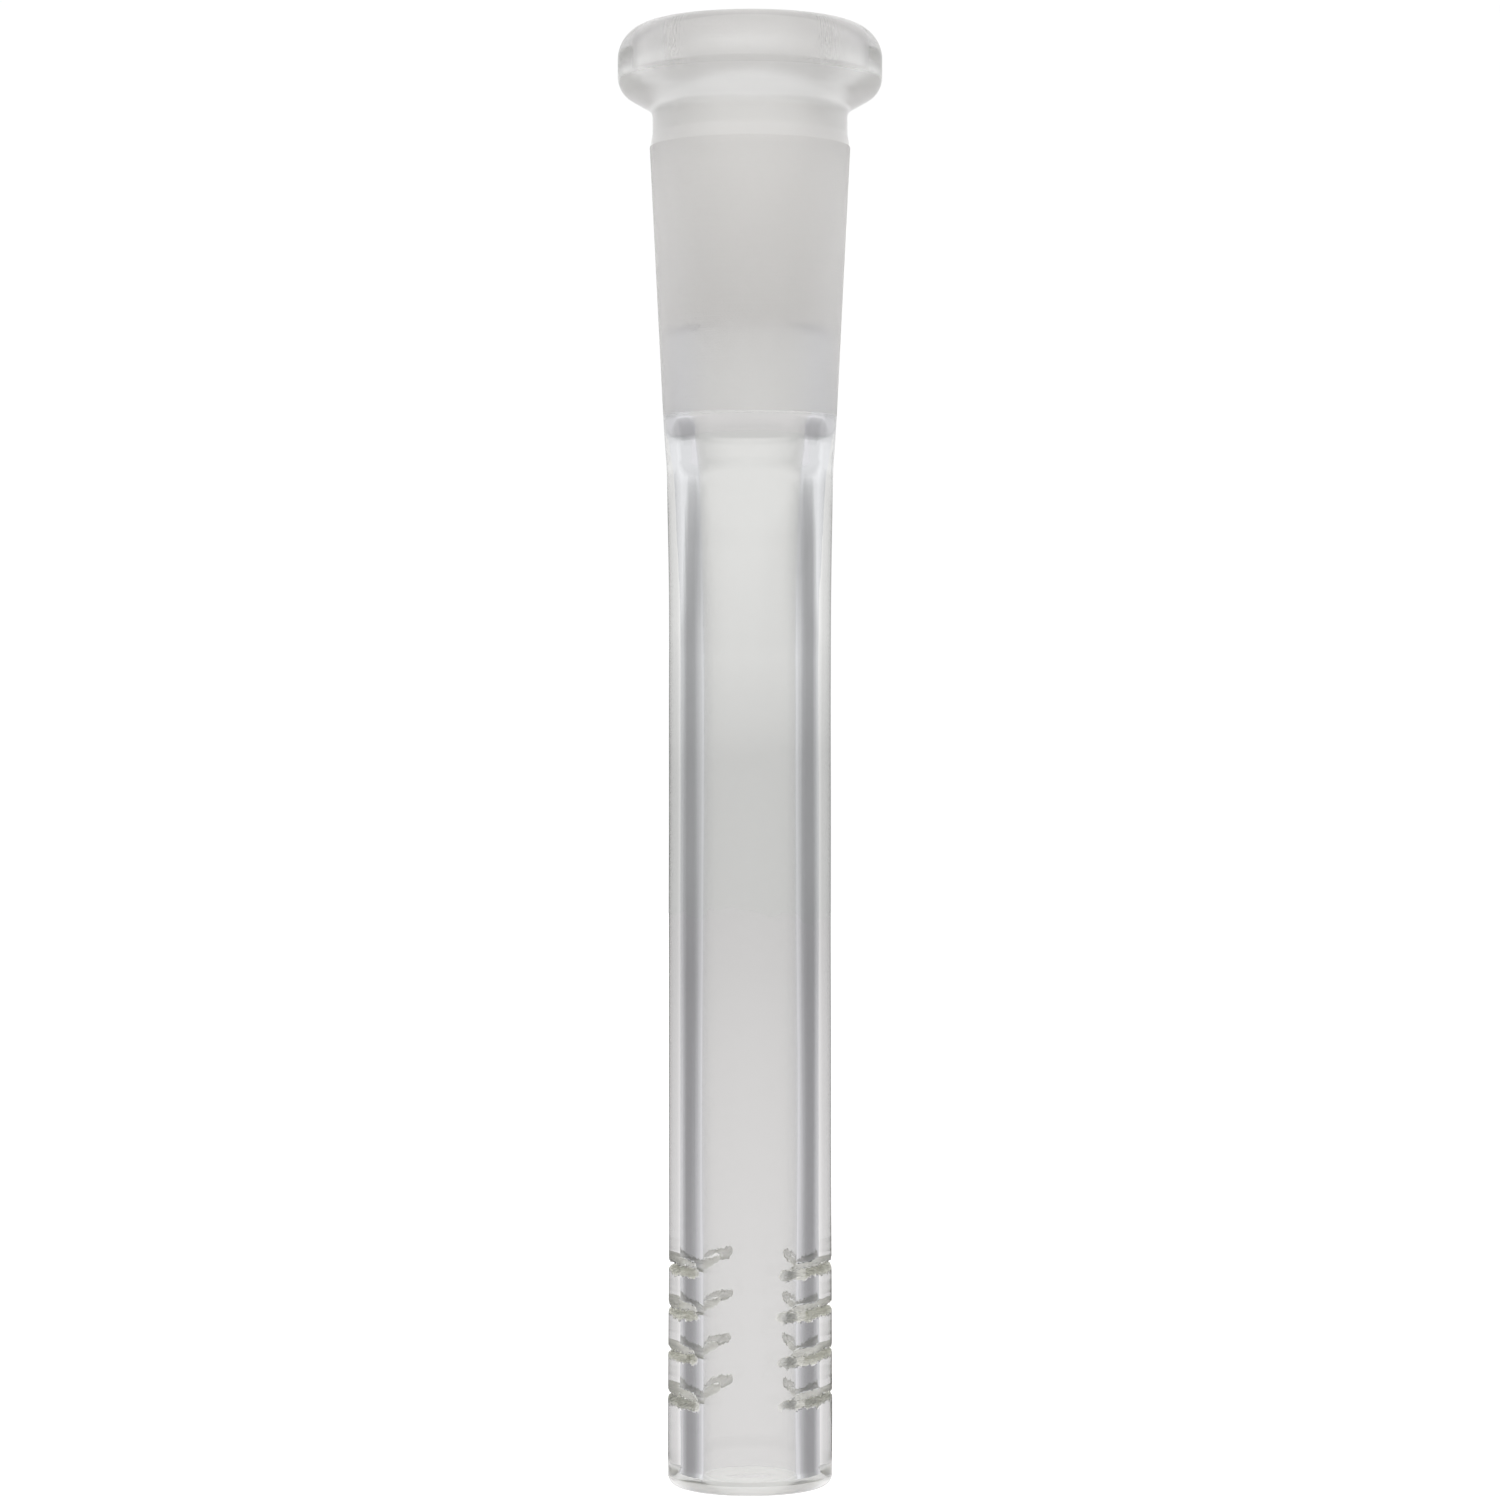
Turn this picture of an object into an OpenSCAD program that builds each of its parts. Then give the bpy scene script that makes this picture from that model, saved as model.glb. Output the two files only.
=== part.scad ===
// Ground-joint diffuser tube in borosilicate glass, in millimetres.
// The tip stands at Z = 0 and the tube rises along +Z to the rim of the ground socket.

/* [Overall] */
// Overall length, tip to rim
total_len = 136.7; // [125:0.1:160]

/* [Rim flange] */
// Outside diameter of the rim flange
flange_d = 24.8; // [22:0.1:30]
// Height of the rim flange, from the foot of its sloped underside
flange_t = 8.6; // [8:0.1:11]
// Slope of the underside, in degrees
flange_slope = 30; // [15:1:40]
// Round-over of the rim's top edge
flange_top_r = 3.2; // [1:0.1:3.5]
// Round-over of the rim's lower edge
flange_foot_r = 2.2; // [0.5:0.1:2.5]
// Fillet where the underside leaves the neck
flange_neck_r = 1; // [0.3:0.1:1.5]

/* [Outer ground joint] */
// Diameter at the wide end of the ground cone
cone_big_d = 18.8; // [18.8:0.1:19.4]
// Length of the ground cone
cone_len = 25.2; // [20:0.1:27]
// Length over which the cone's diameter shrinks by one (1:10 taper)
taper = 10; // [9:0.5:12]
// Outside diameter of the plain neck under the rim
neck_d = 18.3; // [17.6:0.1:18.6]
// Length of the plain neck under the rim
neck_len = 2.9; // [2:0.1:8]

/* [Inner ground socket] */
// Diameter at the wide end of the ground socket
socket_big_d = 14.5; // [14:0.1:14.8]
// Length of the ground socket
socket_len = 24; // [18:0.5:25]
// Depth of the plain mouth above the ground socket
mouth_len = 4.5; // [3:0.1:6]
// Round-over of the mouth's edge
mouth_r = 1.1; // [0.5:0.1:1.5]

/* [Stem] */
// Outside diameter of the stem
stem_d = 15.2; // [14.8:0.1:15.6]
// Bore of the stem
bore_d = 8.8; // [8:0.1:9.4]
// Bore of the plain stretch under the ground socket
well_d = 11.6; // [11:0.1:11.8]
// Height of the ring where the joint blank and the stem tube are welded
weld_h = 5; // [4:0.1:7]
// Length over which the weld draws the bore in below the ring
draw_len = 12; // [8:0.5:20]

/* [Diffuser] */
// Rows of slits, with one slit on each side in every row
slit_rows = 4; // [1:1:6]
// Height of the lowest slit above the tip
slit_first = 8.6; // [7:0.1:10]
// Height from one row to the next
slit_pitch = 4.05; // [3:0.05:4.5]
// Width of the saw cut
slit_w = 0.9; // [0.6:0.1:1.6]
// Distance from the axis to the bottom of each saw cut
slit_reach = 3.7; // [3:0.1:4]
// Tilt of every cut about the X axis, in degrees, so that its +Y end is the higher
slit_tilt = 3.5; // [0:0.5:6]
// Length of the slotted stretch
diffuser_len = 18.5; // [17:0.1:30]

/* [Tip] */
// Length of the plain fire-polished end
tip_len = 5.5; // [4:0.1:6]
// Outside diameter of the end, slightly swollen by the flame
tip_d = 15.4; // [15.2:0.1:15.8]
// Round-over of the end's outer edge
tip_r = 1; // [0.5:0.1:2]
// Round-over of the end's bore edge
tip_bore_r = 1.6; // [0.3:0.1:1.8]

/* [Hidden] */
$fn = 96;

arc_steps = 8;
cut_margin = 2;

// Heights of the joints between one sub-part and the next
diffuser_z = tip_len;
stem_z = diffuser_z + diffuser_len;
flange_z = total_len - flange_t;
neck_z = flange_z - neck_len;
cone_z = neck_z - cone_len;
weld_z = cone_z - weld_h;

// Outer radii
flange_r = flange_d / 2;
neck_r = neck_d / 2;
cone_big_r = cone_big_d / 2;
cone_small_r = cone_big_r - cone_len / taper / 2;
stem_r = stem_d / 2;
weld_foot_r = stem_r + 0.2;
weld_bulge_r = weld_foot_r + 0.2;
weld_bulge_h = 2.6;
weld_lip = [0.05, 0.8];
flare_len = 12;
shoulder_h = 1.3;

// The underside of the rim: where its slope would leave the neck and reach the outer edge
slope_bend = (90 - flange_slope) / 2;
under_z = flange_z + flange_neck_r * tan(slope_bend);
edge_z = under_z + (flange_r - neck_r) * tan(flange_slope);

// Inner radii and heights
bore_r = bore_d / 2;
well_r = well_d / 2;
socket_top_z = total_len - mouth_len;
socket_foot_z = socket_top_z - socket_len;
socket_big_r = socket_big_d / 2;
socket_small_r = socket_big_r - socket_len / taper / 2;
mouth_step = [0.25, 0.4];
mouth_in_r = socket_big_r + mouth_step[0];
well_step_h = 0.4;
weld_bore_r = bore_r + 0.45;
ring_bore_r = well_r - 0.55;
ring_lip = [0.1, 0.5];
ring_ledge_h = 1.5;
function socket_r(z) = socket_small_r + (z - socket_foot_z) / taper / 2;

// Points of a round edge, from angle a to angle b about the centre (x, z)
function arc(x, z, r, a, b) =
    [for (i = [0 : arc_steps]) let (t = a + (b - a) * i / arc_steps)
        [x + r * cos(t), z + r * sin(t)]];

// A ring turned from its half section
module turned(section) {
    rotate_extrude(convexity = 6) polygon(section);
}

// Rolled rim, with the mouth of the ground socket in it
module rim_flange() {
    color("WhiteSmoke", 0.6)
        turned(concat(
            [[socket_r(flange_z), flange_z]],
            arc(neck_r + flange_neck_r, flange_z, flange_neck_r, 180, 90 + flange_slope),
            arc(flange_r - flange_foot_r, edge_z + flange_foot_r * tan(slope_bend),
                flange_foot_r, flange_slope - 90, 0),
            arc(flange_r - flange_top_r, total_len - flange_top_r, flange_top_r, 0, 90),
            arc(mouth_in_r + mouth_r, total_len - mouth_r, mouth_r, 90, 180),
            [[mouth_in_r, socket_top_z + mouth_step[1]], [socket_big_r, socket_top_z]]));
}

// Plain neck between the rim and the ground cone
module joint_neck() {
    color("WhiteSmoke", 0.6)
        turned([
            [socket_r(neck_z), neck_z],
            [cone_big_r, neck_z],
            [neck_r, neck_z + shoulder_h],
            [neck_r, flange_z],
            [socket_r(flange_z), flange_z]]);
}

// Ground cone outside, with the ground socket and its well inside
module ground_cone() {
    color("Gainsboro")
        turned([
            [well_r, cone_z],
            [cone_small_r, cone_z],
            [cone_big_r, neck_z],
            [socket_r(neck_z), neck_z],
            [socket_small_r, socket_foot_z],
            [well_r, socket_foot_z - well_step_h]]);
}

// Flame weld that joins the joint blank to the stem tube, with its inner shoulder
module weld_ring() {
    color("WhiteSmoke", 0.6)
        turned(concat(
            [[weld_bore_r, weld_z], [weld_foot_r, weld_z]],
            [[weld_bulge_r, weld_z + weld_bulge_h]],
            [[cone_small_r - weld_lip[0], cone_z - weld_lip[1]], [cone_small_r, cone_z]],
            [[well_r, cone_z], [well_r - ring_lip[0], cone_z - ring_lip[1]]],
            [[ring_bore_r, cone_z - ring_ledge_h]]));
}

// Heavy-wall stem tube, drawn out slightly to meet the weld
module stem_tube() {
    color("WhiteSmoke", 0.6)
        turned([
            [bore_r, stem_z],
            [stem_r, stem_z],
            [stem_r, weld_z - flare_len],
            [weld_foot_r, weld_z],
            [weld_bore_r, weld_z],
            [bore_r, weld_z - draw_len]]);
}

// One saw cut on the +X side, its root as round as the wheel's edge
module saw_cut() {
    cut_len = 2 * tip_d;
    root_r = slit_w / 2;
    translate([slit_reach + root_r, -cut_len / 2, -root_r])
        cube([stem_r + cut_margin, cut_len, slit_w]);
    translate([slit_reach + root_r, 0, 0])
        rotate([90, 0, 0])
            cylinder(r = root_r, h = cut_len, center = true);
}

// Slotted stretch of the stem
module slotted_diffuser() {
    color("WhiteSmoke", 0.6)
        difference() {
            turned([
                [bore_r, diffuser_z],
                [tip_d / 2, diffuser_z],
                [stem_r, stem_z],
                [bore_r, stem_z]]);
            for (row = [0 : slit_rows - 1], side = [0, 180])
                translate([0, 0, slit_first + row * slit_pitch])
                    rotate([slit_tilt, 0, 0])
                        rotate([0, 0, side])
                            saw_cut();
        }
}

// Open end, fire-polished inside and out
module polished_tip() {
    color("WhiteSmoke", 0.6)
        turned(concat(
            arc(tip_d / 2 - tip_r, tip_r, tip_r, -90, 0),
            [[tip_d / 2, diffuser_z], [bore_r, diffuser_z]],
            arc(bore_r + tip_bore_r, tip_bore_r, tip_bore_r, 180, 270)));
}

rim_flange();
joint_neck();
ground_cone();
weld_ring();
stem_tube();
slotted_diffuser();
polished_tip();
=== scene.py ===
import math

import bmesh
import bpy
import numpy as np
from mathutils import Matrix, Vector


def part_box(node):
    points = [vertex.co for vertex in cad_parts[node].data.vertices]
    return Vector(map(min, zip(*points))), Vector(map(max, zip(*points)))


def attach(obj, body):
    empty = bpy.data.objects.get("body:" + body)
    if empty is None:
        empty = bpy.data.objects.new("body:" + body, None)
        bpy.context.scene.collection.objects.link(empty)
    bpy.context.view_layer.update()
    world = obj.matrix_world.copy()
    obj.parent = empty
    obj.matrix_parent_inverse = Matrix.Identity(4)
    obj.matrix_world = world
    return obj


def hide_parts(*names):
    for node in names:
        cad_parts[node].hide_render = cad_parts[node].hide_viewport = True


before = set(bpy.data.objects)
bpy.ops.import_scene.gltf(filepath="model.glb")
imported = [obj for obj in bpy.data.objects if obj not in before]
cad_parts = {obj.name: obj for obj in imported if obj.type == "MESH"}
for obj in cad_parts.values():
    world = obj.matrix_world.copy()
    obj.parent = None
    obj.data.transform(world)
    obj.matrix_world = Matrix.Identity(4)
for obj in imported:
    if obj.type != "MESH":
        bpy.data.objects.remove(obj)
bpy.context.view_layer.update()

MM = 0.001

# ---------------------------------------------------------------- driving sizes, in millimetres
SEGMENTS = 288            # round the axis
ARC_STEP = 7.0            # degrees between points on a rounded corner
LINE_STEP = 1.5           # longest straight stretch between two rings

FLARE_START = 12.0        # below the weld, where the stem begins to widen
SOCKET_DEPTH = 28.5       # from the rim to the foot of the ground socket
MOUTH_DEPTH = 4.5         # from the rim to the top of the ground socket
MOUTH_STEP = 0.25         # the mouth is this much wider than the socket
LIP_DEPTH = 1.1           # the mouth is matt from the socket up to its rounded lip
SHOULDER = 1.3            # height of the slope from the neck to the ground cone
UNDERSIDE = 30.0          # slope of the rim's underside, in degrees
UNDERSIDE_FILLET = 1.0    # where it leaves the neck
RIM_FOOT_ROUND = 2.2      # round-overs of the rim's lower edge, its top edge and the mouth
RIM_TOP_ROUND = 3.2
MOUTH_ROUND = 1.1
WELD_BULGE = (0.2, 2.6)   # how far the weld swells, and how high above its foot
WELL_STEP = (0.55, 1.5)   # the inner shoulder at the weld: inwards, and down from the cone's foot
TIP_ROUND = 1.0           # round-overs of the open end, outside and in the bore
TIP_BORE_ROUND = 1.6

FLAMED_HEIGHT = 1.0       # the flame left the glass a little cloudy this far up from the tip

SLIT_ROWS = 4
SLIT_FIRST = 8.6          # height of the lowest row above the tip
SLIT_PITCH = 4.05
SLIT_WIDTH = 0.8
SLIT_REACH = 3.7          # from the axis to the root of the cut
SLIT_TILT = 3.5           # degrees about X: the +Y end of a cut is the higher
SLIT_EDGE = 0.14          # how far the edges of a cut are rounded
NET_CELL = 0.17           # cell of the grid that the slotted stretch is netted on

IOR = 1.474               # borosilicate glass
GLASS_TINT = (0.97, 0.97, 0.965)
BORE_TINT = (0.975, 0.985, 1.015)    # the tint of the bore wall's painted reflection
SKIN_TINT = (0.99, 0.99, 0.985)


# ---------------------------------------------------------------- places read from the frame
def seam_radii(node, top):
    """Inner and outer radius of a CAD node's end face, and its height, in millimetres."""
    low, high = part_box(node)
    height = high.z if top else low.z
    points = np.array([v.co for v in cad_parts[node].data.vertices])
    ring = points[np.abs(points[:, 2] - height) < 1e-6]
    radii = np.hypot(ring[:, 0], ring[:, 1]) / MM
    return radii.min(), radii.max(), height / MM


TIP_TOP = seam_radii("polished_tip", True)
SLOT_TOP = seam_radii("slotted_diffuser", True)
STEM_TOP = seam_radii("stem_tube", True)
WELD_TOP = seam_radii("weld_ring", True)
CONE_TOP = seam_radii("ground_cone", True)
NECK_TOP = seam_radii("joint_neck", True)
RIM_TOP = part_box("rim_flange")[1].z / MM
RIM_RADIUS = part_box("rim_flange")[1].x / MM


# ---------------------------------------------------------------- half section of the whole glass
def rounded(corners):
    """Points and outward normals round a closed half section, from corners that are each a radius,
    a height and a fillet."""
    xy = np.array([c[:2] for c in corners])
    back, ahead = np.roll(xy, 1, axis=0) - xy, np.roll(xy, -1, axis=0) - xy
    edge = np.linalg.norm(ahead, axis=1)
    back /= np.roll(edge, 1)[:, None]
    ahead /= edge[:, None]
    half = np.arccos(np.clip((back * ahead).sum(1), -1, 1)) / 2
    cut = np.array([c[2] for c in corners]) / np.tan(half)
    crowd = np.minimum(1, 0.99 * edge / (cut + np.roll(cut, -1)))
    cut *= np.minimum(crowd, np.roll(crowd, 1))
    points, normals = [], []
    for here, b, a, h, reach in zip(xy, back, ahead, half, cut):
        radius = reach * math.tan(h)
        centre = here + (b + a) / np.linalg.norm(b + a) * radius / math.sin(h)
        start, end = here + b * reach - centre, here + a * reach - centre
        turn = math.atan2(start[0] * end[1] - start[1] * end[0], start @ end)
        steps = max(2, round(abs(math.degrees(turn)) / ARC_STEP))
        for angle in np.linspace(0, turn, steps + 1):
            c, d = math.cos(angle), math.sin(angle)
            arm = np.array([start[0] * c - start[1] * d, start[0] * d + start[1] * c])
            points.append(centre + arm)
            normals.append(math.copysign(1, turn) * arm / radius)
    return filled(np.array(points), np.array(normals))


def filled(points, normals):
    """The same section with points along its straight stretches too."""
    ends, end_normals = np.roll(points, -1, axis=0), np.roll(normals, -1, axis=0)
    more, more_normals = [], []
    for p, q, n, m in zip(points, ends, normals, end_normals):
        steps = max(1, math.ceil(np.linalg.norm(q - p) / LINE_STEP))
        share = np.arange(steps)[:, None] / steps
        more.append(p + (q - p) * share)
        more_normals.append(n + (m - n) * share)
    more_normals = np.concatenate(more_normals)
    return np.concatenate(more), more_normals / np.linalg.norm(more_normals, axis=1)[:, None]


def half_section():
    """The corners of the glass, up the outside from the tip, over the rim and down the bore. The
    largest fillets are the gentle bends of drawn glass."""
    tip_in, tip_out, tip_z = TIP_TOP
    bore, stem, slot_z = SLOT_TOP
    drawn_bore, foot, weld_z = STEM_TOP
    well, cone_foot, cone_z = WELD_TOP
    socket_mid, cone_top, neck_z = CONE_TOP
    socket_up, neck, rim_z = NECK_TOP
    taper = (socket_up - socket_mid) / (rim_z - neck_z)
    socket_top_z = RIM_TOP - MOUTH_DEPTH
    socket_foot_z = RIM_TOP - SOCKET_DEPTH
    socket_top = socket_up + taper * (socket_top_z - rim_z)
    socket_foot = socket_up + taper * (socket_foot_z - rim_z)
    mouth = socket_top + MOUTH_STEP
    bend = math.tan(math.radians(90 - UNDERSIDE) / 2)
    under_z = rim_z + UNDERSIDE_FILLET * bend
    edge_z = under_z + (RIM_RADIUS - neck) * math.tan(math.radians(UNDERSIDE))
    return [
        (tip_out, 0.0, TIP_ROUND),
        (tip_out, tip_z, 60.0),
        (stem, slot_z, 400.0),
        (stem, weld_z - FLARE_START, 500.0),
        (foot, weld_z, 30.0),
        (foot + WELD_BULGE[0], weld_z + WELD_BULGE[1], 12.0),
        (cone_foot, cone_z, 12.0),
        (cone_top, neck_z, 0.45),
        (neck, neck_z + SHOULDER, 1.2),
        (neck, under_z, UNDERSIDE_FILLET),
        (RIM_RADIUS, edge_z, RIM_FOOT_ROUND),
        (RIM_RADIUS, RIM_TOP, RIM_TOP_ROUND),
        (mouth, RIM_TOP, MOUTH_ROUND),
        (mouth, socket_top_z + 0.45, 0.3),
        (socket_top, socket_top_z, 0.2),
        (socket_foot, socket_foot_z, 0.3),
        (well, socket_foot_z - 0.4, 0.3),
        (well, cone_z, 0.8),
        (well - WELL_STEP[0], cone_z - WELL_STEP[1], 3.0),
        (drawn_bore, weld_z, 20.0),
        (bore, weld_z - FLARE_START, 300.0),
        (tip_in, 0.0, TIP_BORE_ROUND),
    ]


SECTION, SECTION_NORMALS = rounded(half_section())


def cut_runs(low, high):
    """The stretches of the section between two heights, each as points and normals, cut exactly
    at the ends."""
    count = len(SECTION)
    inside = (SECTION[:, 1] > low) & (SECTION[:, 1] < high)
    runs = []
    for start in np.flatnonzero(inside & ~np.roll(inside, 1)):
        length = 0
        while inside[(start + length) % count]:
            length += 1
        index = np.arange(start - 1, start + length + 1) % count
        points, normals = SECTION[index], SECTION_NORMALS[index]
        for end, inner in ((0, 1), (-1, -2)):
            level = low if points[end][1] <= low else high
            share = (level - points[end][1]) / (points[inner][1] - points[end][1])
            points[end] += (points[inner] - points[end]) * share
            normals[end] += (normals[inner] - normals[end]) * share
        runs.append((points, normals / np.linalg.norm(normals, axis=1)[:, None]))
    return runs


# ---------------------------------------------------------------- hand-worked unevenness
TRUE_END = 2.0            # the tip is true up to here
DRAWN_START = 8.0         # and the stem as uneven as it gets from here
DRAWN_FADE = 10.0         # below the weld, where it becomes true again


def drift(angle, z):
    """How far drawn glass strays from true round, in millimetres, at an angle and height."""
    slow = 0.018 * np.sin(2 * angle + 0.045 * z + 0.6) + 0.012 * np.sin(3 * angle - 0.07 * z + 2.1)
    fine = 0.0045 * np.sin(7 * angle + 0.05 * z) + 0.003 * np.sin(11 * angle - 0.11 * z + 1.3)
    along = 0.008 * np.sin(0.31 * z + 1.1) * np.sin(angle + 0.9)
    return slow + fine + along


def bore_drift(angle, z):
    """The bore strays more than the outside, and sits a little off the axis."""
    slow = 0.02 * np.cos(angle - 2.9) + 0.025 * np.sin(2 * angle + 0.06 * z)
    fine = 0.007 * np.sin(5 * angle - 0.13 * z + 0.4) + 0.004 * np.sin(9 * angle + 0.09 * z)
    return slow + fine


def drawn(z):
    """One along the drawn stem, falling smoothly to none at the flame-finished and ground ends."""
    up = np.clip((z - TRUE_END) / (DRAWN_START - TRUE_END), 0, 1)
    down = np.clip((STEM_TOP[2] - z) / DRAWN_FADE, 0, 1)
    return up * up * (3 - 2 * up) * down * down * (3 - 2 * down)


def stray(angle, z, inner):
    """How far the outside, or the bore where inner is true, strays from true round."""
    return drawn(z) * np.where(inner, bore_drift(angle, z), drift(angle, z))


# ---------------------------------------------------------------- mesh building
OUTSIDE, BORE, GROUND, SEAM, FLAMED, SAWN = range(6)

# Heights between which the surfaces are ground: the socket, and the cone up to just past its corner
SOCKET_GROUND = (RIM_TOP - SOCKET_DEPTH + 0.05, RIM_TOP - LIP_DEPTH)
CONE_GROUND = (WELD_TOP[2] + 0.1, CONE_TOP[2] + 0.15)
INWARDS = -0.75           # a surface whose normal leans this far to the axis belongs to the bore
BORE_TOP = RIM_TOP - 2.0  # the rim's own rounding starts above here


def is_ground(point, inner):
    """True where the section's surface is ground."""
    low, high = SOCKET_GROUND if inner else CONE_GROUND
    return low < point[1] < high and (inner or point[0] > WELD_TOP[1])


def turned_piece(name, low, high):
    """A piece of the glass between two heights: its skins turned from the section, and flat ends."""
    vertices, normals, faces, slots = [], [], [], []
    rims = {low: [], high: []}
    angles = np.arange(SEGMENTS) * 2 * math.pi / SEGMENTS
    for points, section_normals in cut_runs(low, high):
        first = len(vertices)
        for (r, z), (nr, nz) in zip(points, section_normals):
            inner = np.full(SEGMENTS, nr < 0 and z < BORE_TOP)
            out = stray(angles, z, inner)
            step = 1e-3
            lean = (stray(angles + step, z, inner) - stray(angles - step, z, inner)) / (2 * step * r)
            rise = (stray(angles, z + step, inner) - stray(angles, z - step, inner)) / (2 * step)
            radius = r + out
            vertices += list(np.stack([radius * np.cos(angles), radius * np.sin(angles),
                                       np.full(SEGMENTS, z)], 1))
            radial, around, up = nr, -nr * lean, nz - nr * rise
            tilted = np.stack([radial * np.cos(angles) - around * np.sin(angles),
                               radial * np.sin(angles) + around * np.cos(angles),
                               up], 1)
            normals += list(tilted / np.linalg.norm(tilted, axis=1)[:, None])
        rings = len(points)
        for i in range(rings - 1):
            centre = (points[i] + points[i + 1]) / 2
            facing_in = (section_normals[i] + section_normals[i + 1])[0] / 2 < INWARDS
            slot = GROUND if is_ground(centre, facing_in) else BORE if facing_in else OUTSIDE
            slot = FLAMED if centre[1] < FLAMED_HEIGHT else slot
            for j in range(SEGMENTS):
                a = first + i * SEGMENTS + j
                b = first + i * SEGMENTS + (j + 1) % SEGMENTS
                faces.append((a, b, b + SEGMENTS, a + SEGMENTS))
                slots.append(slot)
        for end, ring in ((points[0], 0), (points[-1], rings - 1)):
            height = low if abs(end[1] - low) < abs(end[1] - high) else high
            rims[height].append([first + ring * SEGMENTS + j for j in range(SEGMENTS)])
    for height, pair in rims.items():
        if len(pair) < 2:
            continue
        pair.sort(key=lambda ring: -np.hypot(*vertices[ring[0]][:2]))
        outer, inner = pair
        for j in range(SEGMENTS):
            k = (j + 1) % SEGMENTS
            face = (outer[j], outer[k], inner[k], inner[j])
            faces.append(face if height == high else face[::-1])
            slots.append(SEAM)
    return finished(name, vertices, faces, slots, normals)


def finished(name, vertices, faces, slots, normals):
    """The mesh object, in metres, with the skins' own normals."""
    mesh = bpy.data.meshes.new(name)
    mesh.from_pydata([tuple(v) for v in np.array(vertices) * MM], [], faces)
    mesh.polygons.foreach_set("material_index", slots)
    mesh.polygons.foreach_set("use_smooth", [True] * len(faces))
    flat = [tuple(p.normal) for p in mesh.polygons]
    mesh.normals_split_custom_set([
        flat[p.index] if p.material_index == SEAM else tuple(normals[v])
        for p in mesh.polygons for v in p.vertices])
    piece = bpy.data.objects.new(name, mesh)
    bpy.context.scene.collection.objects.link(piece)
    return piece


# ---------------------------------------------------------------- the slotted stretch
def soft_max(a, b, reach):
    """The larger of two distances, with the edge between them rounded over reach."""
    h = np.clip(reach - np.abs(a - b), 0, None) / reach
    return np.maximum(a, b) + h * h * reach / 4


def tube_distance(p):
    """Signed distance, in millimetres, to the stretch of the stem before it is cut."""
    radius = np.hypot(p[..., 0], p[..., 1])
    angle, z = np.arctan2(p[..., 1], p[..., 0]), p[..., 2]
    share = np.clip((z - TIP_TOP[2]) / (SLOT_TOP[2] - TIP_TOP[2]), 0, 1)
    outer = TIP_TOP[1] + (SLOT_TOP[1] - TIP_TOP[1]) * share + stray(angle, z, False)
    inner = SLOT_TOP[0] + stray(angle, z, True)
    return np.maximum(radius - outer, inner - radius)


def chips(p, seed):
    """Scallops along the faces of a cut, deeper near the skin, where the wheel chipped the glass."""
    x, y, z = p[..., 0], p[..., 1], p[..., 2]
    skin = np.clip((np.hypot(x, y) - 5.0) / 2.6, 0, 1)
    small = np.sin(7.1 * x + 3.3 * y + seed) * np.sin(6.3 * y - 4.7 * x + 2.2 * seed + 2 * z)
    broad = np.sin(2.9 * y + 1.7 * x + 3 * seed) * np.sin(2.3 * x - 3.1 * y + 5 * seed)
    return -(0.03 + 0.07 * skin) * small - (0.02 + 0.09 * skin * skin) * broad


def cut_distance(p):
    """Signed distance to the saw cuts, each a little different from the next."""
    x, y, z = p[..., 0], p[..., 1], p[..., 2]
    nearest = np.full(x.shape, np.inf)
    for row in range(SLIT_ROWS):
        for side in (1, -1):
            seed = 1.7 * row + 0.9 * side
            height = SLIT_FIRST + row * SLIT_PITCH + 0.06 * math.sin(3.1 * seed)
            lean = math.tan(math.radians(SLIT_TILT)) + 0.012 * math.sin(5.3 * seed)
            reach = SLIT_REACH + 0.12 * math.sin(2.3 * seed)
            wave = 0.05 * np.sin(1.3 * y + 4 * seed) + 0.03 * np.sin(2.9 * x + 1.1 * y + seed)
            width = SLIT_WIDTH / 2 + 0.04 * math.sin(4.7 * seed) + 0.03 * np.sin(1.9 * y + 2 * seed)
            across = np.abs(z - height - lean * y - wave) - width + chips(p, seed)
            cut = soft_max(across, reach - side * x, SLIT_WIDTH * 0.8)
            nearest = np.minimum(nearest, cut)
    return nearest


def slotted_distance(p):
    """Signed distance to the slotted stretch, its edges rounded by the flame."""
    return soft_max(tube_distance(p), -cut_distance(p), SLIT_EDGE)


def slope(p, step=0.01):
    """The gradient of the distance at each point."""
    axes = np.eye(3) * step
    return np.stack([slotted_distance(p + a) - slotted_distance(p - a) for a in axes], -1) / (2 * step)


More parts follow.
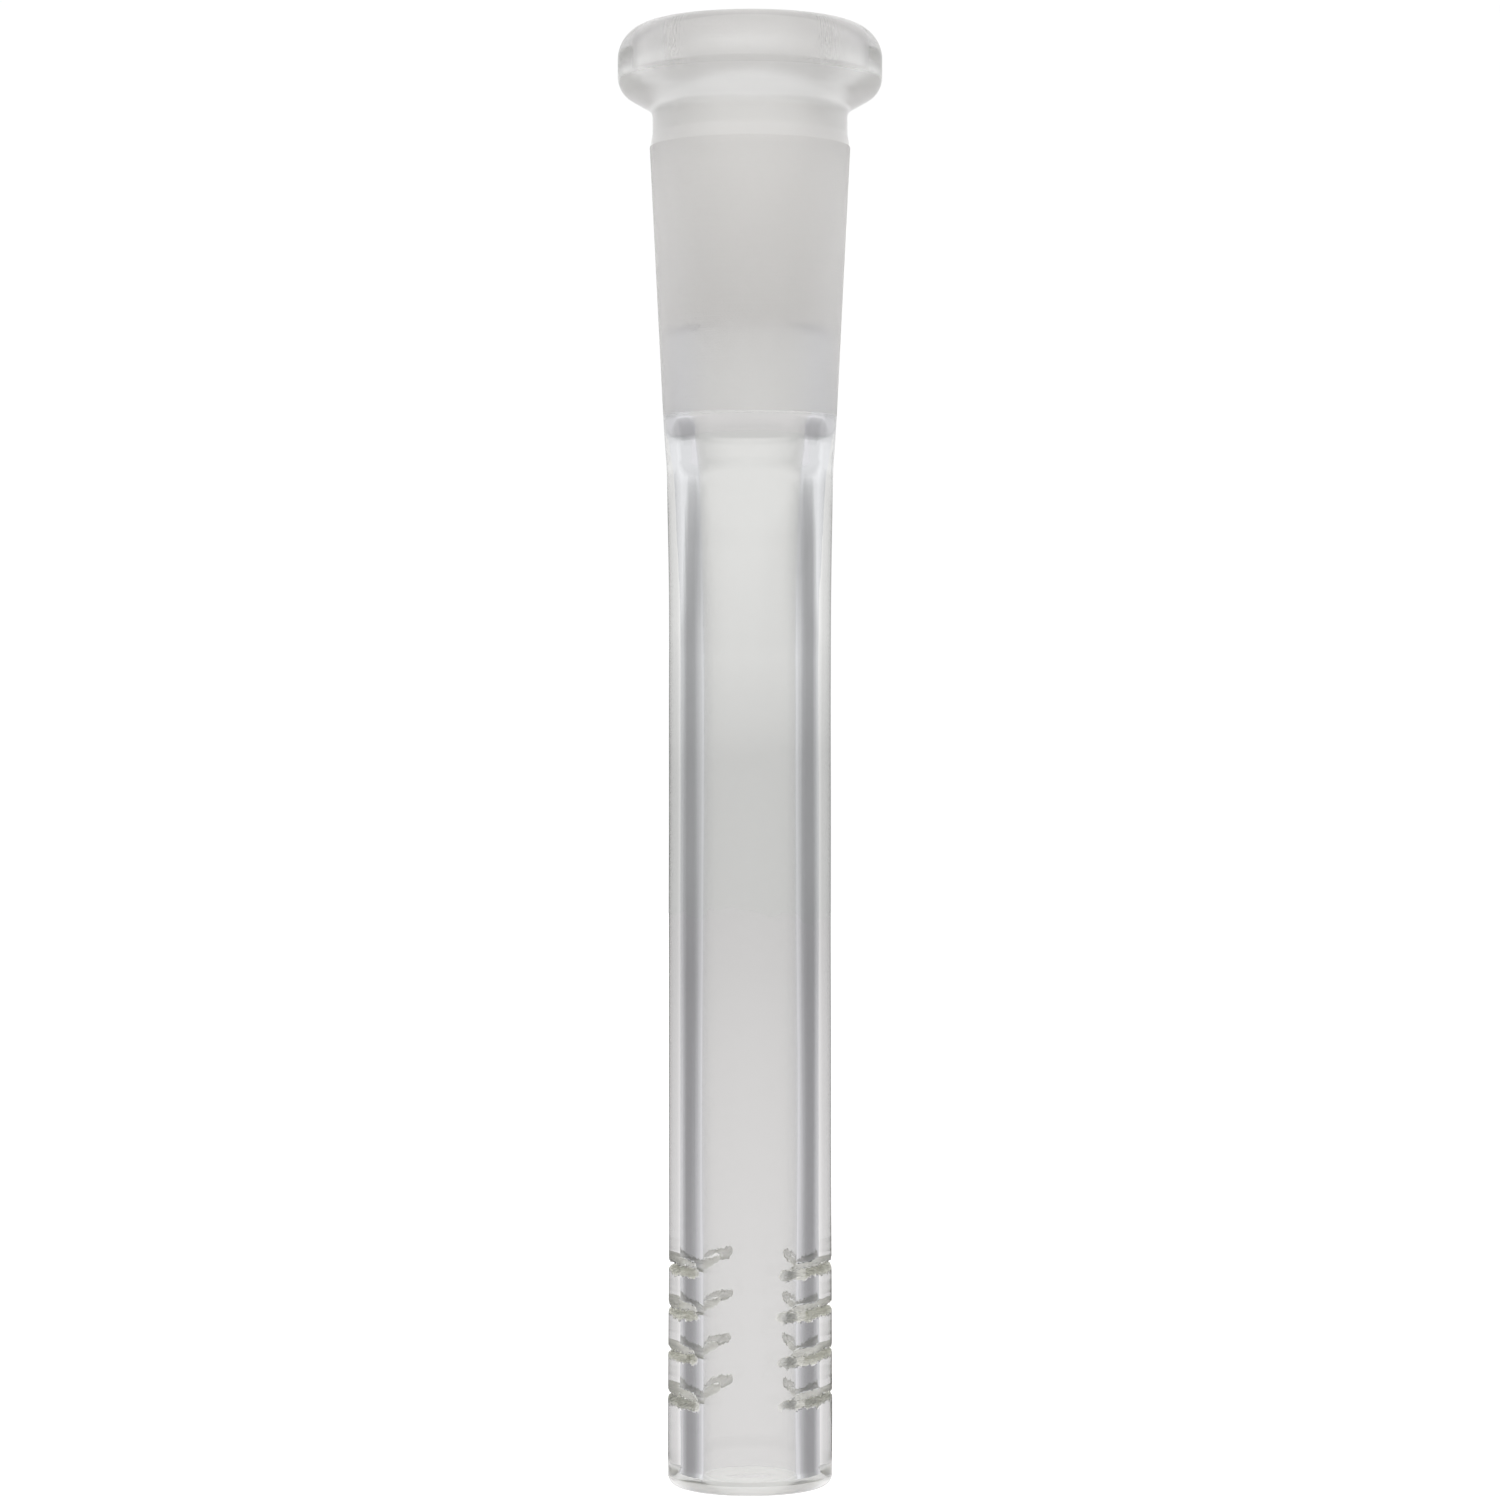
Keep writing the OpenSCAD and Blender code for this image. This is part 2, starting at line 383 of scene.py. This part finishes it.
def surface_net(low, high, cell):
    """Vertices and quads of the zero surface in a box, one vertex to each cell that it crosses."""
    axes = [np.arange(a, b + cell, cell) for a, b in zip(low, high)]
    grid = np.stack(np.meshgrid(*axes, indexing="ij"), -1)
    value = slotted_distance(grid)
    inside = value < 0
    nx, ny, nz = (n - 1 for n in value.shape)
    total = np.zeros((nx, ny, nz, 3))
    count = np.zeros((nx, ny, nz))
    corners = [(i, j, k) for i in (0, 1) for j in (0, 1) for k in (0, 1)]
    for a in corners:
        for axis in range(3):
            if a[axis]:
                continue
            b = tuple(1 if n == axis else a[n] for n in range(3))
            va = value[a[0]:a[0] + nx, a[1]:a[1] + ny, a[2]:a[2] + nz]
            vb = value[b[0]:b[0] + nx, b[1]:b[1] + ny, b[2]:b[2] + nz]
            crossed = (va < 0) != (vb < 0)
            gap = np.where(crossed, va - vb, 1.0)
            share = np.where(crossed, va / gap, 0.0)
            place = np.array(a, float) + np.eye(3)[axis] * share[..., None]
            total += np.where(crossed[..., None], place, 0.0)
            count += crossed
    held = count > 0
    index = np.full(held.shape, -1)
    index[held] = np.arange(held.sum())
    cells = np.argwhere(held)
    start = np.array([a[0] for a in axes])
    vertices = start + (cells + total[held] / count[held][:, None]) * cell
    quads = []
    for axis in range(3):
        u, v = (axis + 1) % 3, (axis + 2) % 3
        lo = [slice(0, n) for n in inside.shape]
        hi = list(lo)
        lo[axis] = slice(0, inside.shape[axis] - 1)
        hi[axis] = slice(1, inside.shape[axis])
        changed = inside[tuple(lo)] != inside[tuple(hi)]
        rising = inside[tuple(lo)]
        at = np.argwhere(changed)
        at = at[(at[:, u] > 0) & (at[:, v] > 0)]
        at = at[(at[:, u] < held.shape[u]) & (at[:, v] < held.shape[v])]
        unit_u, unit_v = np.eye(3, dtype=int)[u], np.eye(3, dtype=int)[v]
        ring = [index[tuple((at - a).T)] for a in (unit_u + unit_v, unit_v, 0 * unit_u, unit_u)]
        quad = np.stack(ring, 1)
        forward = rising[tuple(at.T)]
        quads.append(np.where(forward[:, None], quad, quad[:, ::-1]))
    return vertices, np.concatenate(quads)


MID_WALL = (SLOT_TOP[0] + SLOT_TOP[1]) / 2
SAWN_REACH = 0.03         # a face whose middle is this near a cut is sawn
SETTLING = 5              # passes that draw the net onto the surface
FLATTEST = 0.05           # least squared slope that a pass trusts
NEAR = 1e-3               # two heights this close are one


def slotted_piece(name, low, high):
    """The slotted stretch, netted on a grid, drawn onto its exact surface and cut flat at both ends."""
    reach = TIP_TOP[1] + 3 * NET_CELL
    vertices, quads = surface_net((-reach, -reach, low - 3 * NET_CELL),
                                  (reach, reach, high + 3 * NET_CELL), NET_CELL)
    for _ in range(SETTLING):
        gradient = slope(vertices)
        size = np.maximum((gradient ** 2).sum(1), FLATTEST)
        move = slotted_distance(vertices) / size
        vertices -= np.clip(move, -NET_CELL / 2, NET_CELL / 2)[:, None] * gradient
    mesh = bpy.data.meshes.new(name + "_net")
    mesh.from_pydata([tuple(v) for v in vertices], [], [tuple(q) for q in quads])
    bm = bmesh.new()
    bm.from_mesh(mesh)
    bpy.data.meshes.remove(mesh)
    seams = []
    for height, way in ((low, -1), (high, 1)):
        everything = bm.verts[:] + bm.edges[:] + bm.faces[:]
        bmesh.ops.bisect_plane(bm, geom=everything, dist=1e-5, plane_co=(0, 0, height),
                               plane_no=(0, 0, way), clear_outer=True)
        edge = [e for e in bm.edges if e.is_boundary
                and all(abs(v.co.z - height) < NEAR for v in e.verts)]
        made = bmesh.ops.triangle_fill(bm, edges=edge, use_beauty=True, normal=(0, 0, way))
        seams += [f for f in made["geom"] if isinstance(f, bmesh.types.BMFace)]
    for face in bm.faces:
        centre = face.calc_center_median()
        face.material_index = BORE if math.hypot(centre.x, centre.y) < MID_WALL else OUTSIDE
    for face in seams:
        face.material_index = SEAM
        way = 1 if face.calc_center_median().z > (low + high) / 2 else -1
        if face.normal.z * way < 0:
            face.normal_flip()
    bm.verts.index_update()
    points = np.array([v.co for v in bm.verts])
    faces = [tuple(v.index for v in f.verts) for f in bm.faces]
    slots = np.array([f.material_index for f in bm.faces])
    middles = np.array([f.calc_center_median() for f in bm.faces])
    bm.free()
    sawn = -cut_distance(middles) > tube_distance(middles) - SAWN_REACH
    slots[sawn & (slots != SEAM)] = SAWN
    gradient = slope(points)
    gradient /= np.linalg.norm(gradient, axis=1)[:, None]
    return finished(name, points, faces, slots, gradient)


# ---------------------------------------------------------------- materials
def node_tree(material):
    material.use_nodes = True
    tree = material.node_tree
    tree.nodes.clear()
    return tree


def add(tree, kind, values=(), **settings):
    """A shader node with its settings, and values for its named inputs: a number, a colour or a link."""
    node = tree.nodes.new(kind)
    for key, value in settings.items():
        setattr(node, key, value)
    for key, value in dict(values).items():
        if isinstance(value, bpy.types.NodeSocket):
            tree.links.new(value, node.inputs[key])
        else:
            node.inputs[key].default_value = value
    return node


def stretched(tree, scale):
    """Object coordinates scaled along each axis."""
    place = add(tree, "ShaderNodeTexCoord").outputs["Object"]
    return add(tree, "ShaderNodeMapping", {"Vector": place, "Scale": scale}).outputs["Vector"]


def noise(tree, scale, detail=3.0, roughness=0.5):
    """Noise in object coordinates, with a scale for each axis."""
    return add(tree, "ShaderNodeTexNoise", {"Vector": stretched(tree, scale), "Scale": 1.0,
                                            "Detail": detail, "Roughness": roughness}).outputs[0]


def maths(tree, operation, a, b):
    return add(tree, "ShaderNodeMath", {0: a, 1: b}, operation=operation).outputs[0]


def ramp(tree, value, stops):
    """A curve through (place, level) stops."""
    node = add(tree, "ShaderNodeValToRGB", {"Fac": value})
    elements = node.color_ramp.elements
    while len(elements) < len(stops):
        elements.new(0.5)
    for element, (place, level) in zip(elements, sorted(stops)):
        element.position = place
        element.color = (level, level, level, 1)
    return node.outputs["Color"]


def scaled(tree, colour, level):
    return add(tree, "ShaderNodeVectorMath", {0: colour, "Scale": level}, operation="SCALE").outputs[0]


def up_the_glass(tree, stops):
    """A curve against height: stops are (millimetres above the tip, level)."""
    place = add(tree, "ShaderNodeTexCoord").outputs["Object"]
    height = add(tree, "ShaderNodeSeparateXYZ", {"Vector": place}).outputs["Z"]
    share = maths(tree, "DIVIDE", height, RIM_TOP * MM)
    return ramp(tree, share, [(z / RIM_TOP, level) for z, level in stops])


# Painted reflection and painted shade: levels that scale the glass's colours, for how much of the light
# it mirrors or passes. SKIN_MIRROR, SKIN_LETS_IN, BORE_LETS_OUT and BORE_SHADE run against one less the
# cosine of the ray's angle from straight on, the others against height in millimetres. Plain glass in a
# plain white room shows no dark bands, so these levels paint in the darker parts of a studio that real
# glass mirrors. The bore's wall is darkest a little past the critical angle. CALM is how far the painted
# bands fade at the weld, the rim and the flamed tip. BORE_LIGHT lightens the bore's painted reflection
# near the weld, and the underside level paints shade on the rim's sloped underside.
SKIN_MIRROR = [(0.0, 0.9), (0.5, 0.8), (0.75, 0.35), (1.0, 0.2)]
SKIN_LETS_IN = [(0.0, 1.0), (0.44, 1.0), (0.56, 0.78), (0.8, 0.75), (1.0, 0.7)]
SKIN_CALM = [(0.0, 1.0), (2.2, 1.0), (3.0, 0.0), (89.0, 0.0), (95.0, 0.86), (101.0, 0.86),
             (124.0, 1.0), (131.2, 1.0), (132.2, 0.78), (134.6, 0.78), (136.0, 0.92)]
# painted shade on the rim's sloped underside
UNDERSIDE_PAINTED_SHADE = [(128.0, 1.0), (129.0, 0.89), (130.4, 0.89), (131.6, 1.0)]
BORE_LETS_OUT = [(0.0, 0.92), (0.1, 0.905), (0.15, 0.885), (0.2, 0.83), (0.26, 0.75)]
BORE_LETS_IN = [(0.0, 0.93), (2.6, 0.93), (3.4, 0.87), (4.2, 0.92), (136.0, 0.92)]
BORE_SHADE = [(0.26, 0.0), (0.28, 0.12), (0.3, 0.29), (0.34, 0.62), (0.39, 0.88), (0.45, 1.0),
              (0.57, 1.0), (0.66, 0.75), (0.77, 0.35), (0.89, 0.05)]
BORE_CALM = [(0.0, 0.9), (0.6, 0.5), (1.3, 0.1), (2.2, 0.0), (80.0, 0.0), (94.5, 1.0),
             (97.7, 1.0), (98.1, 0.2), (99.1, 0.2), (99.5, 1.0)]
SKIN_SOFTNESS = [(0.0, 0.0), (124.0, 0.0), (125.2, 0.36), (130.8, 0.36), (132.6, 0.12), (136.0, 0.12)]
BORE_SHIFT = [(80.0, 0.0), (86.6, 0.07), (92.0, 0.14), (100.0, 0.15)]
BORE_LIGHT = [(0.0, 0.84), (93.5, 0.84), (95.5, 1.0), (97.7, 1.0), (98.1, 0.84)]
BORE_DEPTH = [(0.0, 0.56), (48.0, 0.56), (58.0, 0.49), (80.0, 0.49), (90.0, 0.45)]
BORE_MIRROR = 0.95        # for a ray that meets the wall from inside the bore
CALM_EDGE = 1.15          # above one, so that the shade stays finite where the bore is calm


def facing(tree, normal):
    """One less the cosine of the angle between the ray and straight on."""
    return add(tree, "ShaderNodeLayerWeight", {"Blend": 0.5, "Normal": normal}).outputs["Facing"]


def skin_painted_levels(tree, angle):
    """Painted levels for the outside of the tube, darker by angle and height as painted reflection and
    shade: what it lets in, lets out, mirrors outside and mirrors within.
    """
    calm_here = up_the_glass(tree, SKIN_CALM)
    lets_in = maths(tree, "MAXIMUM", ramp(tree, angle, SKIN_LETS_IN), calm_here)
    lets_in = maths(tree, "MINIMUM", lets_in, up_the_glass(tree, UNDERSIDE_PAINTED_SHADE))
    mirrors = maths(tree, "MAXIMUM", ramp(tree, angle, SKIN_MIRROR), calm_here)
    return lets_in, 1.0, mirrors, 1.0


def bore_painted_levels(tree, angle):
    """The same four painted levels for the wall of the bore, whose painted shade makes the dark bands.
    """
    calm_here = up_the_glass(tree, BORE_CALM)
    moved = maths(tree, "ADD", angle, up_the_glass(tree, BORE_SHIFT))
    shade = maths(tree, "SUBTRACT", ramp(tree, moved, BORE_SHADE), calm_here)
    shade = maths(tree, "MAXIMUM", shade, 0.0)
    shade = maths(tree, "DIVIDE", shade, maths(tree, "SUBTRACT", CALM_EDGE, calm_here))
    shade = maths(tree, "MULTIPLY", shade, up_the_glass(tree, BORE_DEPTH))
    within = maths(tree, "SUBTRACT", up_the_glass(tree, BORE_LIGHT), shade)
    clear = maths(tree, "MULTIPLY", calm_here, BORE_LETS_OUT[0][1])
    lets_out = maths(tree, "MAXIMUM", ramp(tree, angle, BORE_LETS_OUT), clear)
    return up_the_glass(tree, BORE_LETS_IN), lets_out, BORE_MIRROR, within


def clear_glass(name, levels, mirror_tint, softness):
    """Glass that bends light through and mirrors it by angle, with painted reflection and painted shade
    in its colours from the levels, and the long lines of drawn glass.
    """
    material = bpy.data.materials.new(name)
    tree = node_tree(material)
    lines = noise(tree, (900, 900, 14))
    bump = add(tree, "ShaderNodeBump", {"Height": lines, "Strength": 0.03, "Distance": 0.0004})
    normal = bump.outputs["Normal"]
    lets_in, lets_out, outer, inner = levels(tree, facing(tree, normal))
    within = add(tree, "ShaderNodeNewGeometry").outputs["Backfacing"]
    mirrored = add(tree, "ShaderNodeMix", {0: within, 2: outer, 3: inner}).outputs[0]
    passed = add(tree, "ShaderNodeMix", {0: within, 2: lets_in, 3: lets_out}).outputs[0]
    soft = up_the_glass(tree, softness) if softness else 0.0
    bend = add(tree, "ShaderNodeBsdfRefraction", {"Color": scaled(tree, GLASS_TINT, passed),
                                                  "IOR": IOR, "Roughness": soft, "Normal": normal})
    mirror = add(tree, "ShaderNodeBsdfAnisotropic", {"Color": scaled(tree, mirror_tint, mirrored),
                                                     "Roughness": soft, "Normal": normal})
    edge = add(tree, "ShaderNodeFresnel", {"IOR": IOR, "Normal": normal})
    both = add(tree, "ShaderNodeMixShader", {0: edge.outputs[0], 1: bend.outputs[0],
                                             2: mirror.outputs[0]})
    out = add(tree, "ShaderNodeOutputMaterial")
    tree.links.new(both.outputs[0], out.inputs["Surface"])
    return material


def matt_glass(name, colour, roughness, heights, depth, haze=0.0, gaps=0.0):
    """Glass whose surface is ground or sawn. Haze is the share of it that is white with fine
    cracks, and gaps the share that lets light straight through."""
    material = bpy.data.materials.new(name)
    tree = node_tree(material)
    bump = add(tree, "ShaderNodeBump", {"Height": heights(tree), "Strength": 0.35,
                                        "Distance": depth})
    cloud = noise(tree, (260, 260, 160), detail=2.0)
    rough = add(tree, "ShaderNodeMapRange", {"Value": cloud, "To Min": roughness * 0.88,
                                             "To Max": roughness * 1.12})
    shader = add(tree, "ShaderNodeBsdfPrincipled", {
        "Base Color": colour(tree), "Roughness": rough.outputs[0], "IOR": IOR,
        "Transmission Weight": 1.0, "Normal": bump.outputs["Normal"]})
    if haze:
        cracks = add(tree, "ShaderNodeBsdfDiffuse", {"Color": colour(tree)})
        shader = add(tree, "ShaderNodeMixShader", {0: haze, 1: shader.outputs[0],
                                                   2: cracks.outputs[0]})
    if gaps:
        straight = add(tree, "ShaderNodeBsdfTransparent", {"Color": colour(tree)})
        shader = add(tree, "ShaderNodeMixShader", {0: gaps, 1: shader.outputs[0],
                                                   2: straight.outputs[0]})
    out = add(tree, "ShaderNodeOutputMaterial")
    tree.links.new(shader.outputs[0], out.inputs["Surface"])
    return material


def grinding_rings(tree):
    """A fine grain, with the grinding wheel's rings round it."""
    grain = noise(tree, (6000, 6000, 6000), roughness=0.6)
    rings = noise(tree, (60, 60, 5200), detail=4.0, roughness=0.65)
    return maths(tree, "ADD", grain, maths(tree, "MULTIPLY", rings, 0.8))


def ground_tint_and_painted_shade(tree):
    """The ground glass's warm tint, with painted shade against height: its colour is darkest at the foot
    of the socket and inside the rim."""
    level = up_the_glass(tree, [(100.0, 0.85), (107.0, 0.83), (109.0, 0.79), (118.0, 0.83),
                                (124.5, 0.86), (126.0, 0.92), (129.0, 0.92), (130.0, 0.75),
                                (132.4, 0.75), (133.4, 0.87), (136.0, 0.89)])
    return scaled(tree, (1.0, 0.992, 0.978), level)


def saw_marks(tree):
    return noise(tree, (1700, 1700, 2600), detail=4.0, roughness=0.65)


def sawn_tint_and_painted_glints(tree):
    """Painted glints: random lighter specks in the cut's colour stand for small chips along it catching
    the light.
    """
    level = ramp(tree, noise(tree, (1300, 1300, 1300), detail=2.0), [(0.35, 0.88), (0.6, 1.0)])
    return scaled(tree, (1.0, 1.0, 0.95), level)


def ripples(tree):
    return noise(tree, (500, 500, 900), detail=2.0)


def flamed_tone(tree):
    level = ramp(tree, noise(tree, (300, 300, 700), detail=2.0), [(0.3, 0.93), (0.7, 1.0)])
    return scaled(tree, (1.0, 1.0, 0.98), level)


def seam_glass():
    """The inside of the glass, where two stretches of it meet: nothing shows there."""
    material = bpy.data.materials.new("inside_seam")
    tree = node_tree(material)
    gap = add(tree, "ShaderNodeBsdfTransparent")
    out = add(tree, "ShaderNodeOutputMaterial")
    tree.links.new(gap.outputs[0], out.inputs["Surface"])
    return material


# ---------------------------------------------------------------- the pieces
BEYOND = 1.0              # a cut this far off the glass leaves its end whole
HEIGHTS = {
    "polished_tip": (-BEYOND, TIP_TOP[2]),
    "slotted_diffuser": (TIP_TOP[2], SLOT_TOP[2]),
    "stem_tube": (SLOT_TOP[2], STEM_TOP[2]),
    "weld_ring": (STEM_TOP[2], WELD_TOP[2]),
    "ground_cone": (WELD_TOP[2], CONE_TOP[2]),
    "joint_neck": (CONE_TOP[2], NECK_TOP[2]),
    "rim_flange": (NECK_TOP[2], RIM_TOP + BEYOND),
}
# In the order of the slot numbers, from OUTSIDE to SAWN
materials = [clear_glass("outside_glass", skin_painted_levels, SKIN_TINT, SKIN_SOFTNESS),
             clear_glass("bore_glass", bore_painted_levels, BORE_TINT, None),
             matt_glass("ground_surface", ground_tint_and_painted_shade, 0.54, grinding_rings, 0.00006), seam_glass(),
             matt_glass("flamed_glass", flamed_tone, 0.2, ripples, 0.00005, haze=0.45),
             matt_glass("sawn_glass", sawn_tint_and_painted_glints, 0.3, saw_marks, 0.0002, haze=0.5, gaps=0.5)]
for node, (low, high) in HEIGHTS.items():
    build = slotted_piece if node == "slotted_diffuser" else turned_piece
    piece = build(node + "_glass", low, high)
    for material in materials:
        piece.data.materials.append(material)
    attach(piece, "root")
    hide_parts(node)


# ---------------------------------------------------------------- floor, light and camera
FLOOR_RADIUS = 1.4        # metres
FLOOR_GREY = (0.26, 0.26, 0.26, 1)
WHITE = (1, 1, 1, 1)
BACKDROP = 1.02           # the white that the camera sees behind the object


def seen(tree):
    """One where the camera sees the studio straight, and not through the glass."""
    return add(tree, "ShaderNodeLightPath").outputs["Is Camera Ray"]


def studio_floor():
    """A pale floor that the tip stands on. Its glow is a painted pool of light, brighter in the middle
    and dimmer towards the edge, and the camera sees it plain white.
    """
    mesh = bpy.data.meshes.new("floor")
    bm = bmesh.new()
    bmesh.ops.create_circle(bm, cap_ends=True, segments=96, radius=FLOOR_RADIUS)
    bm.to_mesh(mesh)
    bm.free()
    floor = bpy.data.objects.new("floor", mesh)
    bpy.context.scene.collection.objects.link(floor)
    material = bpy.data.materials.new("pale_floor")
    tree = node_tree(material)
    place = add(tree, "ShaderNodeTexCoord").outputs["Object"]
    reach = add(tree, "ShaderNodeVectorMath", {0: place}, operation="LENGTH").outputs["Value"]
    painted_glow = ramp(tree, maths(tree, "DIVIDE", reach, FLOOR_RADIUS),
                [(0.0, 0.69), (0.14, 0.66), (0.3, 0.625), (0.5, 0.588), (0.67, 0.558), (1.0, 0.535)])
    painted_glow = scaled(tree, (1.0, 0.98, 0.995), painted_glow)
    painted_glow = add(tree, "ShaderNodeMix", {0: seen(tree), 6: painted_glow, 7: WHITE},
               data_type="RGBA").outputs[2]
    shader = add(tree, "ShaderNodeBsdfPrincipled", {"Base Color": FLOOR_GREY,
                                                    "Roughness": 0.9, "Specular IOR Level": 0.0,
                                                    "Emission Strength": 1.0, "Emission Color": painted_glow})
    out = add(tree, "ShaderNodeOutputMaterial")
    tree.links.new(shader.outputs[0], out.inputs["Surface"])
    mesh.materials.append(material)


def studio_light():
    """A white room, a little dimmer towards the horizon."""
    world = bpy.data.worlds.new("studio")
    bpy.context.scene.world = world
    world.use_nodes = True
    tree = world.node_tree
    tree.nodes.clear()
    way = add(tree, "ShaderNodeTexCoord").outputs["Generated"]
    up = add(tree, "ShaderNodeSeparateXYZ", {"Vector": way}).outputs["Z"]
    share = add(tree, "ShaderNodeMapRange", {"Value": up, "From Min": -0.25, "From Max": 0.25})
    level = ramp(tree, share.outputs[0], [(0.44, 0.78), (0.497, 0.775), (0.51, 0.83),
                                          (0.5375, 0.905), (0.565, 1.0)])
    level = add(tree, "ShaderNodeMix", {0: seen(tree), 2: level, 3: BACKDROP}).outputs[0]
    back = add(tree, "ShaderNodeBackground", {"Color": level, "Strength": 1.0})
    out = add(tree, "ShaderNodeOutputWorld")
    tree.links.new(back.outputs[0], out.inputs["Surface"])


CAMERA_HEIGHT = 68.8      # millimetres above the tip
CAMERA_DISTANCE = 400.0   # millimetres from the axis
CAMERA_AZIMUTH = 10.0     # degrees round from the front, -Y, towards +X
FRAME_WIDTH = 140.7       # millimetres across the picture, at the tube


def studio_camera():
    """A level camera beside the middle of the tube."""
    data = bpy.data.cameras.new("camera")
    data.sensor_width = 36.0
    data.lens = data.sensor_width * CAMERA_DISTANCE / FRAME_WIDTH
    data.clip_start = 0.01
    data.clip_end = 20.0
    camera = bpy.data.objects.new("camera", data)
    bpy.context.scene.collection.objects.link(camera)
    turn = math.radians(CAMERA_AZIMUTH)
    back = Vector((math.sin(turn), -math.cos(turn), 0))
    camera.location = back * CAMERA_DISTANCE * MM + Vector((0, 0, CAMERA_HEIGHT * MM))
    camera.rotation_mode = "QUATERNION"
    camera.rotation_quaternion = (-back).to_track_quat("-Z", "Y")
    bpy.context.scene.camera = camera


studio_floor()
studio_light()
studio_camera()

scene = bpy.context.scene
scene.view_settings.view_transform = "Standard"
scene.cycles.max_bounces = 32
scene.cycles.glossy_bounces = 16
scene.cycles.transmission_bounces = 24
scene.cycles.transparent_max_bounces = 48
